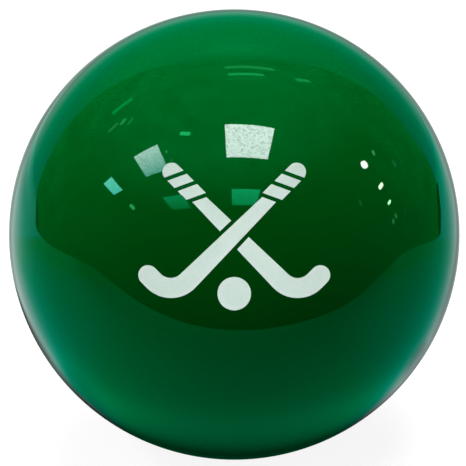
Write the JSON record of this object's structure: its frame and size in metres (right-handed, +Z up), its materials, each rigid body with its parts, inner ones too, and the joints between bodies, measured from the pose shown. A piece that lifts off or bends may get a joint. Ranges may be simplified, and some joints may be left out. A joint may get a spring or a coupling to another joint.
{
  "type": "rink hockey ball",
  "caption": "Glossy green moulded ball for rink hockey, with a pale printed mark of crossed sticks and a ball on its front.",
  "frame": {"origin": "centre of the ball", "axes": "+Z up, away from the ground; -Y is the front, which the print faces; +X to the right as the front is seen"},
  "size_m": [0.0732, 0.0732, 0.0732],
  "materials": {
    "ball_plastic": "smooth dark green moulded plastic, polished to a high gloss",
    "print_ink": "flat pale greenish grey pad-printing ink"
  },
  "bodies": {
    "root": {"ball": "ball_plastic", "front_print": "print_ink"}
  },
  "joints": []
}
